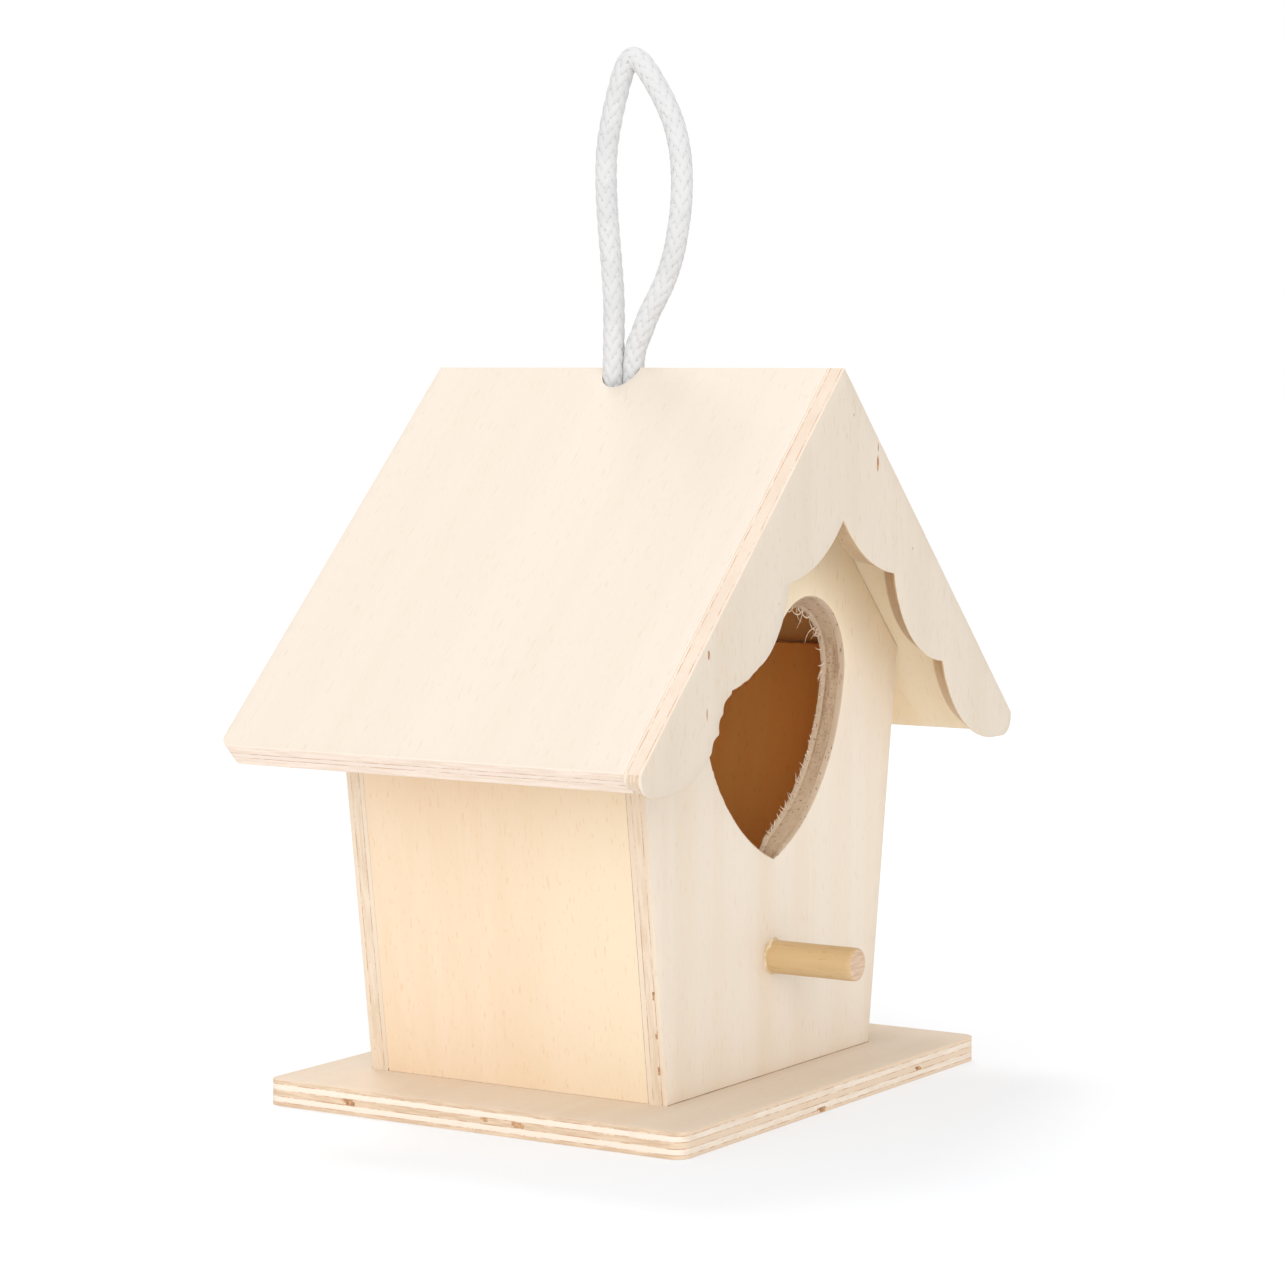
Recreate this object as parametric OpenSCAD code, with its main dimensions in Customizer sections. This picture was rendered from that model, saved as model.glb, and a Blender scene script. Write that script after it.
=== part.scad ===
// Small hanging birdhouse, glued up from plywood panels on a flat base board.
// The house front faces -Y. The origin is the centre of the base board's underside.

/* [Base board] */
// Width of the base board, left to right
base_w = 108; // [96:1:130]
// Depth of the base board, front to back
base_d = 87.6; // [84:0.2:100]
// Thickness of the base board
base_t = 4.7; // [3:0.1:8]
// Radius of the base board's upright corners
base_corner_r = 2.8; // [0.5:0.1:6]

/* [House walls] */
// Width across the walls where they stand on the base board
wall_foot_w = 72.4; // [66:0.2:80]
// Outward lean of the two side walls, in degrees
wall_lean = 8; // [4:0.5:12]
// Thickness of all four walls
wall_t = 3.8; // [3:0.1:5]
// Distance from the origin to the outer face of the front wall
front_y = 29.8; // [27:0.1:33]
// Distance from the origin to the outer face of the back wall
back_y = 33.4; // [30:0.1:38]

/* [Heart entrance] */
// Radius of each of the heart's two upper lobes
lobe_r = 13.4; // [12.6:0.1:15]
// Distance of each lobe's centre from the middle of the wall
lobe_x = 12.3; // [10:0.1:12.5]
// Height of the lobes' centres above the table
lobe_z = 77.1; // [74:0.1:80]
// Height of the heart's lower point above the table
tip_z = 43.8; // [40:0.1:46]
// Radius of the heart's two long lower sides
side_r = 38.4; // [36:0.1:44]

/* [Roof] */
// Slope of both roof panels, in degrees
roof_pitch = 44.5; // [43:0.5:46]
// Height of the ridge above the table
ridge_z = 132.2; // [130:0.1:134]
// Distance of each eave from the middle of the house
eave_x = 67.4; // [65:0.1:69]
// Thickness of the roof panels
roof_t = 5; // [4:0.1:6]
// Distance from the origin to the front ends of the roof panels
roof_front_y = 40.4; // [38:0.1:44]
// Distance from the origin to the back ends of the roof panels
roof_back_y = 43.6; // [40:0.1:48]
// Radius of the roof panels' back eave corners
roof_corner_r = 2.4; // [0.5:0.1:6]

/* [Scalloped gable board] */
// Thickness of the gable board
gable_t = 3.4; // [3:0.1:5]
// Height of the peak of the opening
peak_z = 105; // [103:0.5:107]
// Distance of the upper notch between two scallops from the middle
notch_1_x = 19; // [17:0.1:21]
// Height of the upper notch above the table
notch_1_z = 94.8; // [93:0.1:96]
// Distance of the lower notch from the middle
notch_2_x = 38.3; // [37:0.1:40]
// Height of the lower notch above the table
notch_2_z = 77.6; // [76:0.1:79]
// Radius of the upper scallop
scallop_1_r = 29; // [24:1:40]
// Radius of the middle scallop
scallop_2_r = 21.2; // [18:0.2:26]
// Radius of the lower scallop, which ends the board
scallop_3_r = 22.7; // [22.5:0.1:24]
// Distance of the lower scallop's centre from the middle
scallop_3_x = 60; // [58:0.2:60]
// Radius of the outer corners at the board's two lower ends
gable_end_r = 3.6; // [1:0.1:4.5]

/* [Perch] */
// Diameter of the perch dowel
perch_d = 6; // [5:0.5:8]
// Length of the perch in front of the wall
perch_reach = 17.5; // [12:0.5:25]
// Height of the perch's centre above the table
perch_z = 26; // [20:0.5:32]
// Bevel round the perch's front end
perch_bevel = 0.4; // [0.2:0.1:1]
// Width of the dried glue round the perch
glue_w = 0.5; // [0.3:0.1:1]
// Length of the dried glue along the perch
glue_l = 0.9; // [0.5:0.1:2]

/* [Hanging cord] */
// Diameter of the braided cord
cord_d = 3.7; // [3:0.1:3.7]
// Diameter of the hole drilled down through the ridge
cord_hole_d = 7.8; // [7.8:0.1:9]
// Diameter of the knot that stops the cord under the ridge
knot_d = 11.6; // [11:0.1:13]

/* [Hidden] */
$fn = 96;

// Length by which a cutting shape runs past the face it cuts
past = 1;
lean = tan(wall_lean);
slope = tan(roof_pitch);
foot_x = wall_foot_w / 2;
// Thickness of a leaning wall measured along X
wall_run = wall_t / cos(wall_lean);
slope_l = eave_x / cos(roof_pitch);
eave_z = ridge_z - eave_x * slope;
// Lower edge of the eave, at right angles to the slope
drip = [eave_x - roof_t * sin(roof_pitch), eave_z - roof_t * cos(roof_pitch)];
// Length of the roof panels with some to spare in front, so that only their back corners are rounded
roof_blank = roof_back_y + roof_front_y + roof_corner_r + past;
// Height of the peak of the roof's underside
under_z = ridge_z - roof_t / cos(roof_pitch);
// The left panel laps over the right one, and its end lies in the right-hand slope
lap = roof_t / tan(2 * roof_pitch);
seam = [roof_t * sin(roof_pitch) + lap * cos(roof_pitch),
        ridge_z - roof_t * cos(roof_pitch) + lap * sin(roof_pitch)];

// How far round below its widest point each lobe of the heart turns into the long lower side
lobe_turn = 12;

// The cord hole is a little to the right of and behind the middle of the ridge
hole_x = 0.3;
hole_y = 2.7;
// The knot is pressed this far into the roof's underside, which flattens it
knot_seat = 0.5;
knot_z = under_z - (knot_d / 2 - knot_seat) / cos(roof_pitch);

// Centre line of the cord: up out of the knot, round the loop and back down
cord_sides = 8;
cord_route = [
    [0.9, 0.9, 121], [0.9, 0.9, 127], [0.9, 0.9, 132], [0.8, 0.4, 135.5], [0.6, -1.1, 138.6],
    [0.4, -2.5, 141.5], [0.3, -4.3, 144.5], [0.2, -6, 147.4], [0.1, -7.3, 150.3],
    [0.1, -8.3, 153.4], [0, -9, 156.5], [0, -9.7, 161], [0, -9.9, 166.5], [0, -9.4, 171.5],
    [0, -8.2, 176], [0, -6.5, 179.7], [0, -4.4, 183.2], [0, -2.2, 186.3], [0, -0.6, 187.9],
    [0, 0.6, 188.4], [0, 1.7, 187.6], [0, 2.8, 185.6], [0, 4.1, 181.6], [0, 5.3, 177],
    [0, 6.2, 172], [0, 6.4, 167], [0, 6.2, 162], [0, 5.7, 156.2], [0, 5.1, 150.3],
    [-0.1, 4.6, 144.5], [-0.2, 4.5, 138.5], [-0.3, 4.5, 132], [-0.3, 4.5, 127], [-0.3, 4.5, 121]];

// Upper outer corner of each side wall, where it meets the underside of the roof
wall_top_z = (under_z - slope * (foot_x - lean * base_t)) / (1 + lean * slope);
wall_top_x = foot_x + (wall_top_z - base_t) * lean;

// One crossing of the circles round p and q, of radii a and b: the one to the left of p to q
function crossing(p, a, q, b) =
    let (d = norm(q - p), u = (q - p) / d, s = (a * a - b * b + d * d) / (2 * d))
    p + s * u + sqrt(a * a - s * s) * [-u[1], u[0]];

// Direction of the cord at point i of its route
function heading(i) =
    let (v = cord_route[min(i + 1, len(cord_route) - 1)] - cord_route[max(i - 1, 0)]) v / norm(v);

// Ring of points round the cord at point i of its route
function ring(i) =
    let (t = heading(i), a = cross(t, [1, 0, 0]), u = a / norm(a), v = cross(t, u))
    [for (k = [0:cord_sides - 1]) cord_route[i]
        + cord_d / 2 * (cos(360 * k / cord_sides) * u + sin(360 * k / cord_sides) * v)];

// A flat outline in X and Z, made solid from y0 back to y1
module upright(y0, y1) {
    translate([0, y1, 0]) rotate([90, 0, 0]) linear_extrude(y1 - y0) children();
}

module rounded_rect(w, d, r) {
    square([w - 2 * r, d], center = true);
    square([w, d - 2 * r], center = true);
    for (x = [-1, 1], y = [-1, 1]) translate([x * (w / 2 - r), y * (d / 2 - r)]) circle(r);
}

// Round disc whose edge runs through two points of the gable board, bulging downwards
module scallop(p, q, r) {
    translate(crossing(p, r, q, r)) circle(r);
}

// Gabled outline of the front and back walls
module gable_outline() {
    polygon([[-foot_x, base_t], [foot_x, base_t], [wall_top_x, wall_top_z], [0, under_z],
             [-wall_top_x, wall_top_z]]);
}

// Two round lobes over a pointed lens whose long sides run on from them
module heart_outline() {
    join = [lobe_x + lobe_r * cos(lobe_turn), lobe_z - lobe_r * sin(lobe_turn)];
    centre = crossing([0, tip_z], side_r, join, side_r);
    for (x = [-1, 1]) translate([x * lobe_x, lobe_z]) circle(lobe_r);
    intersection() {
        translate(centre) circle(side_r);
        translate([-centre[0], centre[1]]) circle(side_r);
        translate([-side_r, tip_z - past]) square([2 * side_r, join[1] - tip_z + 2 * past]);
    }
}

// Flat foot of the gable board's lower scallop, from its lowest point out to a rounded corner
module gable_foot() {
    w = eave_x - scallop_3_x;
    square([w - gable_end_r, scallop_3_r]);
    translate([0, gable_end_r]) square([w, scallop_3_r]);
    translate([w - gable_end_r, gable_end_r]) circle(gable_end_r);
}

// Right half of the gable board: a straight roof edge above and three scallops below
module gable_board_half() {
    notch_1 = [notch_1_x, notch_1_z];
    notch_2 = [notch_2_x, notch_2_z];
    foot_z = notch_2_z + sqrt(pow(scallop_3_r, 2) - pow(scallop_3_x - notch_2_x, 2));
    intersection() {
        polygon([[0, ridge_z], [eave_x, eave_z], [eave_x, 0], [0, 0]]);
        union() {
            polygon([[0, ridge_z], [0, peak_z], notch_1, notch_2, [eave_x, notch_2_z]]);
            scallop([0, peak_z], notch_1, scallop_1_r);
            scallop(notch_1, notch_2, scallop_2_r);
            intersection() {
                translate([scallop_3_x, foot_z]) circle(scallop_3_r);
                translate([0, foot_z - 2 * scallop_3_r]) square([scallop_3_x, 2 * scallop_3_r]);
            }
            translate([scallop_3_x, foot_z - scallop_3_r]) gable_foot();
        }
    }
}

// A right-hand roof panel with the profile given as children and a rounded back corner
module roof_panel() {
    intersection() {
        upright(-roof_front_y, roof_back_y) children();
        translate([0, roof_back_y - roof_blank / 2, ridge_z]) rotate([0, roof_pitch, 0])
            translate([0, 0, -2 * roof_t]) linear_extrude(3 * roof_t)
                rounded_rect(2 * slope_l, roof_blank, roof_corner_r);
    }
}

module cord_hole() {
    translate([hole_x, hole_y, under_z - 2 * roof_t]) cylinder(d = cord_hole_d, h = 4 * roof_t);
}

// Right-hand side wall. Its top is cut level, so only its outer upper edge touches the sloping roof
module side_panel() {
    upright(-front_y + wall_t, back_y - wall_t)
        polygon([[foot_x - wall_run, base_t], [foot_x, base_t], [wall_top_x, wall_top_z],
                 [wall_top_x - wall_run, wall_top_z]]);
}

module base_plate() {
    color([0.93, 0.87, 0.78]) linear_extrude(base_t) rounded_rect(base_w, base_d, base_corner_r);
}

module front_panel() {
    color([0.92, 0.87, 0.79]) difference() {
        upright(-front_y, -front_y + wall_t) gable_outline();
        upright(-front_y - past, -front_y + wall_t + past) heart_outline();
        translate([0, -front_y - past, perch_z]) rotate([-90, 0, 0])
            cylinder(d = perch_d, h = wall_t + 2 * past);
    }
}

module back_panel() {
    color([0.92, 0.87, 0.79]) upright(back_y - wall_t, back_y) gable_outline();
}

module side_panel_left() {
    color([0.96, 0.86, 0.72]) mirror([1, 0, 0]) side_panel();
}

module side_panel_right() {
    color([0.96, 0.86, 0.72]) side_panel();
}

module roof_left() {
    color([0.98, 0.93, 0.86]) difference() {
        mirror([1, 0, 0]) roof_panel()
            polygon([[0, ridge_z], [eave_x, eave_z], drip, [-seam[0], seam[1]]]);
        cord_hole();
    }
}

module roof_right() {
    color([0.98, 0.93, 0.86]) difference() {
        roof_panel() polygon([seam, [eave_x, eave_z], drip, [0, under_z]]);
        cord_hole();
    }
}

module gable_board() {
    color([0.9, 0.85, 0.77]) upright(-roof_front_y - gable_t, -roof_front_y) {
        gable_board_half();
        mirror([1, 0]) gable_board_half();
    }
}

module perch() {
    r = perch_d / 2;
    l = perch_reach + wall_t;
    color([0.87, 0.74, 0.55]) translate([0, -front_y - perch_reach, perch_z]) rotate([-90, 0, 0])
        rotate_extrude() polygon([[0, 0], [r - perch_bevel, 0], [r, perch_bevel], [r, l], [0, l]]);
}

module perch_glue() {
    r = perch_d / 2;
    color([0.9, 0.85, 0.72]) translate([0, -front_y, perch_z]) rotate([90, 0, 0])
        rotate_extrude() polygon([[r, 0], [r + glue_w, 0], [r, glue_l]]);
}

module hang_cord() {
    last = len(cord_route) - 1;
    n = cord_sides;
    color([0.94, 0.94, 0.94]) polyhedron(
        points = [for (i = [0:last]) each ring(i)],
        faces = [[for (k = [n - 1:-1:0]) k],
            for (i = [0:last - 1], k = [0:n - 1])
                [i * n + k, i * n + (k + 1) % n, (i + 1) * n + (k + 1) % n, (i + 1) * n + k],
            [for (k = [0:n - 1]) last * n + k]]);
}

module cord_knot() {
    color([0.94, 0.94, 0.94]) intersection() {
        translate([0, hole_y, knot_z]) rotate([0, 0, 90]) sphere(d = knot_d);
        upright(hole_y - knot_d, hole_y + knot_d)
            polygon([[0, under_z], [knot_d, under_z - knot_d * slope], [knot_d, 0],
                     [-knot_d, 0], [-knot_d, under_z - knot_d * slope]]);
    }
}

base_plate();
front_panel();
back_panel();
side_panel_left();
side_panel_right();
roof_left();
roof_right();
gable_board();
perch();
perch_glue();
hang_cord();
cord_knot();
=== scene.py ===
import math
import random

import bmesh
import bpy
import numpy as np
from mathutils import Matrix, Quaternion, Vector, noise
from mathutils.geometry import delaunay_2d_cdt


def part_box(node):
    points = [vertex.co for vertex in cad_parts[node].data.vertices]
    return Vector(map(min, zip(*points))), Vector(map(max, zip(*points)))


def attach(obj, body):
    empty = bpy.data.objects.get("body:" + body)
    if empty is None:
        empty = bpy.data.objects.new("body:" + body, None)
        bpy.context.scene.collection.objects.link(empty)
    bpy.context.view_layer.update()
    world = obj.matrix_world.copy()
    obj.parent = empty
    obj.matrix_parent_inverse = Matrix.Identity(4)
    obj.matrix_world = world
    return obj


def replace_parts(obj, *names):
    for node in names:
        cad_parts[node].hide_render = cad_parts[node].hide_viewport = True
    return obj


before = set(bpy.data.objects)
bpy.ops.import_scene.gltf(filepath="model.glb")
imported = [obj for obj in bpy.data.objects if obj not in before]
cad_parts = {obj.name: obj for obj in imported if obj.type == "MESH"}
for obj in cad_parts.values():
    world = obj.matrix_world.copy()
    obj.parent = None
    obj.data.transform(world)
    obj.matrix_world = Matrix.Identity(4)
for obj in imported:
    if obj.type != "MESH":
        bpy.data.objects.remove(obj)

MM = 0.001
X, Y, Z = Vector((1, 0, 0)), Vector((0, 1, 0)), Vector((0, 0, 1))
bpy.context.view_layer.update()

# ---------------------------------------------------------------- camera
VIEW_AZIMUTH, VIEW_ELEVATION, VIEW_ROLL = -57.87, 4.24, 0.15
VIEW_DISTANCE = 0.6706
AIM = Vector((2.95, 0.0, 81.4)) * MM
LENS, SENSOR = 101.6, 36.0


def make_camera():
    a, e = math.radians(VIEW_AZIMUTH), math.radians(VIEW_ELEVATION)
    back = Vector((math.sin(a) * math.cos(e), -math.cos(a) * math.cos(e), math.sin(e)))
    data = bpy.data.cameras.new("camera")
    data.lens, data.sensor_width = LENS, SENSOR
    data.clip_start, data.clip_end = 0.01, 50
    camera = bpy.data.objects.new("camera", data)
    camera.location = AIM + back * VIEW_DISTANCE
    camera.rotation_mode = "QUATERNION"
    roll = Quaternion((0, 0, 1), math.radians(VIEW_ROLL))
    camera.rotation_quaternion = (-back).to_track_quat("-Z", "Y") @ roll
    bpy.context.collection.objects.link(camera)
    bpy.context.scene.camera = camera


make_camera()

# ---------------------------------------------------------------- material kit


def tone(r, g, b):
    """A screen colour of 0 to 255 as the linear colour that the shaders use."""
    linear = [((c / 255 + 0.055) / 1.055) ** 2.4 if c > 10 else c / 255 / 12.92 for c in (r, g, b)]
    return (*linear, 1.0)


class Graph:
    """A node material while it is being built."""

    def __init__(self, name):
        self.material = bpy.data.materials.new(name)
        self.material.use_nodes = True
        self.tree = self.material.node_tree
        self.tree.nodes.clear()

    def add(self, kind, inputs=None, out=0, **settings):
        node = self.tree.nodes.new("ShaderNode" + kind)
        for key, value in settings.items():
            setattr(node, key, value)
        for key, value in (inputs or {}).items():
            if isinstance(value, bpy.types.NodeSocket):
                self.tree.links.new(value, node.inputs[key])
            else:
                node.inputs[key].default_value = value
        return node.outputs[out]

    def math(self, operation, a, b=0.0, clamp=False):
        return self.add("Math", {0: a, 1: b}, operation=operation, use_clamp=clamp)

    def mix(self, factor, a, b):
        return self.add("Mix", {0: factor, 6: a, 7: b}, out=2, data_type="RGBA")

    def dot(self, vector, axis):
        return self.add("VectorMath", {0: vector, 1: tuple(axis)}, out="Value", operation="DOT_PRODUCT")

    def join(self, x, y, z):
        return self.add("CombineXYZ", {0: x, 1: y, 2: z})

    def noise(self, vector, scale, detail=2.0, roughness=0.5):
        inputs = {"Vector": vector, "Scale": scale, "Detail": detail, "Roughness": roughness}
        return self.add("TexNoise", inputs, noise_dimensions="3D")

    def step(self, value, low, high):
        """value turned to 0 at low and 1 at high, smoothly."""
        inputs = {"Value": value, "From Min": low, "From Max": high}
        return self.add("MapRange", inputs, interpolation_type="SMOOTHSTEP")

    def finish(self, colour, roughness, height=None, bump=0.2, bump_depth=0.05, specular=0.35, **more):
        inputs = {"Base Color": colour, "Roughness": roughness, "Specular IOR Level": specular, **more}
        if height is not None:
            inputs["Normal"] = self.add("Bump", {"Strength": bump, "Distance": bump_depth * MM,
                                                 "Height": height})
        output = self.tree.nodes.new("ShaderNodeOutputMaterial")
        self.tree.links.new(self.add("BsdfPrincipled", inputs), output.inputs["Surface"])
        return self.material


def streaks_of(g, along, u, level, stretch, scale, detail, roughness):
    """Noise drawn out along the fibres. The smaller stretch is, the longer are its streaks."""
    return g.noise(g.join(g.math("MULTIPLY", along, stretch), u, level), scale, detail, roughness)


def turning(g, place, axis, start, end, wander):
    """0 to 1 between two places along a direction, in millimetres, with an uneven border."""
    uneven = g.math("MULTIPLY", g.math("SUBTRACT", wander, 0.5), 24.0)
    return g.step(g.math("ADD", g.dot(place, axis / MM), uneven), start, end)


def within(g, place, half_x, half_y):
    """1 inside the house's walls and 0 outside them."""
    x, y = (g.step(g.math("ABSOLUTE", g.dot(place, axis / MM)), half, half - 0.5)
            for axis, half in ((X, half_x), (Y, half_y)))
    return g.math("MULTIPLY", x, y)


def cut_end(g, along, u, v, end_pale, end_dark, fleck, flecks):
    """The colour of wood where its fibres are cut: thin bands along the sheet, with pores."""
    pores = g.noise(g.join(g.math("MULTIPLY", along, 0.6), g.math("MULTIPLY", u, 0.6), v), 3.4, 2.0, 0.6)
    bands = g.noise(g.join(g.math("MULTIPLY", along, 0.1), g.math("MULTIPLY", u, 0.1), v), 1.5, 2.0, 0.6)
    cut = g.mix(g.step(bands, 0.35, 0.65), end_pale, end_dark)
    rare = 0.65 - 0.12 * flecks
    return g.mix(g.math("MULTIPLY", g.step(pores, rare, rare + 0.1), max(0.4, flecks * 0.8)), cut, fleck)


def wood(name, grain, layer, pale, deep, fleck, end_pale, end_dark, seed=0.0, figure=0.6, streaks=0.5,
         flecks=0.3, shift=None, painted_light_indoors=None):
    """Wood whose fibres run along grain in sheets at right angles to layer.

    Faces along the fibres show long streaks and short flecks, and cut ends show pores and thin bands. shift
    is (direction, start, end, tone): the tone that the wood turns to along that direction, in millimetres.
    The indoor argument is (half x, half y, tone): painted warm bounce light on the parts inside the house.
    """
    g = Graph(name)
    coord = g.tree.nodes.new("ShaderNodeTexCoord")
    place, normal = coord.outputs["Object"], coord.outputs["Normal"]
    fibre, other = Vector(grain).normalized(), Vector(layer).normalized()
    side = fibre.cross(other).normalized()
    along, u, v = (g.dot(place, axis / MM) for axis in (fibre, side, other))
    slow = streaks_of(g, along, u, seed, 0.02, 0.05, 1.0, 0.5)
    u = g.math("ADD", u, g.math("MULTIPLY", g.math("SUBTRACT", slow, 0.5), 6.0))
    level = g.math("ADD", v, seed)
    broad = streaks_of(g, along, u, level, 0.012, 0.11, 3.0, 0.55)
    fine = streaks_of(g, along, u, level, 0.05, 1.3, 3.0, 0.65)
    dash = streaks_of(g, along, u, level, 0.16, 2.3, 2.0, 0.55)
    blotch = g.noise(place, 55.0, 2.0, 0.5)
    if shift:
        axis, start, end, second = shift
        factor = turning(g, place, axis, start, end, broad)
        pale = g.mix(factor, pale, second)
        deep = g.mix(g.math("MULTIPLY", factor, 0.8), deep, second)
    body = g.mix(g.math("MULTIPLY", g.step(broad, 0.34, 0.68), figure), pale, deep)
    body = g.mix(g.math("MULTIPLY", g.step(fine, 0.45, 0.72), streaks * 0.4), body, deep)
    body = g.mix(g.math("MULTIPLY", g.step(blotch, 0.4, 0.7), 0.12), body, pale)
    body = g.mix(g.math("MULTIPLY", g.step(dash, 0.6, 0.72), flecks), body, fleck)
    # Painted warm bounce light inside the house, mixed over the wood's own colour
    if painted_light_indoors:
        half_x, half_y, inner = painted_light_indoors
        body = g.mix(within(g, place, half_x, half_y), body, inner)
    cut = cut_end(g, along, u, v, end_pale, end_dark, fleck, flecks)
    facing_cut = g.step(g.math("ABSOLUTE", g.dot(normal, fibre)), 0.62, 0.95)
    colour = g.mix(facing_cut, body, cut)
    height = g.math("ADD", g.math("MULTIPLY", fine, 0.6), g.math("MULTIPLY", dash, -0.5))
    return g.finish(colour, 0.62, height, bump=0.35, bump_depth=0.04)


def glue_line(name, brown, tan):
    """The thin dark line of resin between two plies, which comes and goes along the edge."""
    g = Graph(name)
    place = g.tree.nodes.new("ShaderNodeTexCoord").outputs["Object"]
    patchy = g.noise(place, 320.0, 3.0, 0.6)
    shift = g.noise(place, 70.0, 1.0, 0.5)
    dots = g.noise(place, 1300.0, 1.0, 0.5)
    factor = g.math("ADD", g.step(patchy, 0.35, 0.65), g.math("SUBTRACT", shift, 0.5), clamp=True)
    colour = g.mix(factor, brown, tan)
    colour = g.mix(g.math("MULTIPLY", g.step(dots, 0.56, 0.66), 0.55), colour, brown)
    return g.finish(colour, 0.6, patchy, bump=0.4)


def void_wood_and_shade(name):
    """The inside of a knot hole or a gap in a ply, darker: partly the wood's own colour there, partly painted
    shade of the hollow.
    """
    g = Graph(name)
    place = g.tree.nodes.new("ShaderNodeTexCoord").outputs["Object"]
    grit = g.noise(place, 900.0, 3.0, 0.6)
    colour = g.mix(g.step(grit, 0.35, 0.65), tone(162, 116, 80), tone(204, 163, 123))
    return g.finish(colour, 0.8, grit, bump=0.6)


# ---------------------------------------------------------------- shapes


def turns(count):
    """The angles of count even steps round a circle."""
    return [2 * math.pi * k / count for k in range(count)]


def between(a, b, n):
    """The faces between two rings of n points, which start at a and b."""
    return [(a + k, b + k, b + (k + 1) % n, a + (k + 1) % n) for k in range(n)]


# ---------------------------------------------------------------- boards

# The glue line between two plies, the rounding of a board's edges and how uneven a sawn edge is
GLUE_WIDTH, GLUE_DEPTH = 0.16, 0.03
EASE, EASE_STEPS = 0.15, 2
RELIEF = 0.05
# How far apart the points of a board lie: along its edge, through its thickness and over its faces
EDGE_STEP, DEPTH_STEP, GRID_STEP = 0.5, 0.32, 3.2
# A turn that counts as a corner, and how far round a sharp tip an inset is reduced
CORNER, SPIKE = math.radians(24), 1.6
# How far inside a face it is cut, the gap below which points are one, and twice the area of no triangle
SKIM, MERGE, SLIVER = 0.004, 0.02, 1e-4
# What each material of a board is for. The rim is the edge of an opening.
FACE, BACK, PLY, CORE, GLUE, HOLLOW, SEAM, RIM_PLY, RIM_CORE = range(9)


def points_of(node):
    return np.array([tuple(v.co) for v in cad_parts[node].data.vertices]) / MM


def facing(node, toward):
    """The biggest face of a CAD node that looks toward: its normal, where it lies and the thickness."""
    best, found = 0.0, None
    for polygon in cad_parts[node].data.polygons:
        if polygon.normal.dot(toward) > 0.6 and polygon.area > best:
            best, found = polygon.area, polygon.normal.copy()
    depths = points_of(node) @ np.array(found)
    return found, depths.max(), depths.max() - depths.min()


def section(node, depth, normal, top, u, v):
    """Closed outlines, in millimetres, of a CAD node cut by a plane depth below its face."""
    cut = bmesh.new()
    cut.from_mesh(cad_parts[node].data)
    bmesh.ops.remove_doubles(cut, verts=cut.verts, dist=1e-7)
    geometry = cut.verts[:] + cut.edges[:] + cut.faces[:]
    made = bmesh.ops.bisect_plane(cut, geom=geometry, dist=1e-9, plane_no=normal,
                                  plane_co=normal * (top - depth) * MM)["geom_cut"]
    links = {}
    for edge in made:
        if isinstance(edge, bmesh.types.BMEdge):
            a, b = edge.verts
            links.setdefault(a, []).append(b)
            links.setdefault(b, []).append(a)
    loops = []
    while links:
        start = here = next(iter(links))
        loop, last = [], None
        while here in links:
            loop.append((here.co.dot(u) / MM, here.co.dot(v) / MM))
            following = [p for p in links.pop(here) if p is not last and (p in links or p is start)]
            last, here = here, following[0] if following else None
        loops.append(np.array(loop))
    cut.free()
    return [clean(loop) for loop in loops]


def clean(loop):
    """The outline without points that lie on each other."""
    kept = [loop[0]]
    for p in loop[1:]:
        if np.hypot(*(p - kept[-1])) > MERGE:
            kept.append(p)
    if np.hypot(*(kept[0] - kept[-1])) < MERGE:
        kept.pop()
    return np.array(kept)


def area(loop):
    x, y = loop[:, 0], loop[:, 1]
    return 0.5 * float(np.sum(x * np.roll(y, -1) - np.roll(x, -1) * y))


def turned(loop, outer):
    return loop if (area(loop) > 0) == outer else loop[::-1]


def corners(loop):
    before = loop - np.roll(loop, 1, 0)
    after = np.roll(loop, -1, 0) - loop
    angle = np.arctan2(before[:, 0] * after[:, 1] - before[:, 1] * after[:, 0], (before * after).sum(1))
    return [i for i in range(len(loop)) if abs(angle[i]) > CORNER]


def spans(loop):
    """The outline cut at its corners into open runs of points, from a corner that is easy to find again."""
    found = corners(loop)
    key = loop @ np.array([0.37, 1.0])
    if not found:
        found = [int(np.argmax(key))]
    first = max(range(len(found)), key=lambda k: key[found[k]])
    found = found[first:] + found[:first]
    runs = []
    for a, b in zip(found, found[1:] + found[:1]):
        count = (b - a) % len(loop) or len(loop)
        runs.append(loop[[(a + k) % len(loop) for k in range(count + 1)]])
    return runs


def run_length(run):
    return float(np.hypot(*np.diff(run, axis=0).T).sum())


def resample(run, count):
    steps = np.hypot(*np.diff(run, axis=0).T)
    at = np.concatenate([[0], np.cumsum(steps)])
    want = np.linspace(0, at[-1], count + 1)[:-1]
    return np.column_stack([np.interp(want, at, run[:, k]) for k in (0, 1)])


def outlines(node, depths, normal, top, u, v, tapered):
    """One set of evenly spaced outlines for each depth, with matching points. The outer one comes first."""
    thick = depths[-1]
    sets, counts = [], None
    for depth in depths if tapered else [thick / 2]:
        loops = section(node, min(max(depth, SKIM), thick - SKIM), normal, top, u, v)
        loops.sort(key=lambda loop: -abs(area(loop)))
        runs = [spans(turned(loop, i == 0)) for i, loop in enumerate(loops)]
        if counts is None:
            counts = [[max(2, round(run_length(r) / EDGE_STEP)) for r in loop] for loop in runs]
        sets.append([np.vstack([resample(r, n) for r, n in zip(loop, ns)]) for loop, ns in zip(runs, counts)])
    return sets if tapered else sets * len(depths)


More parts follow.
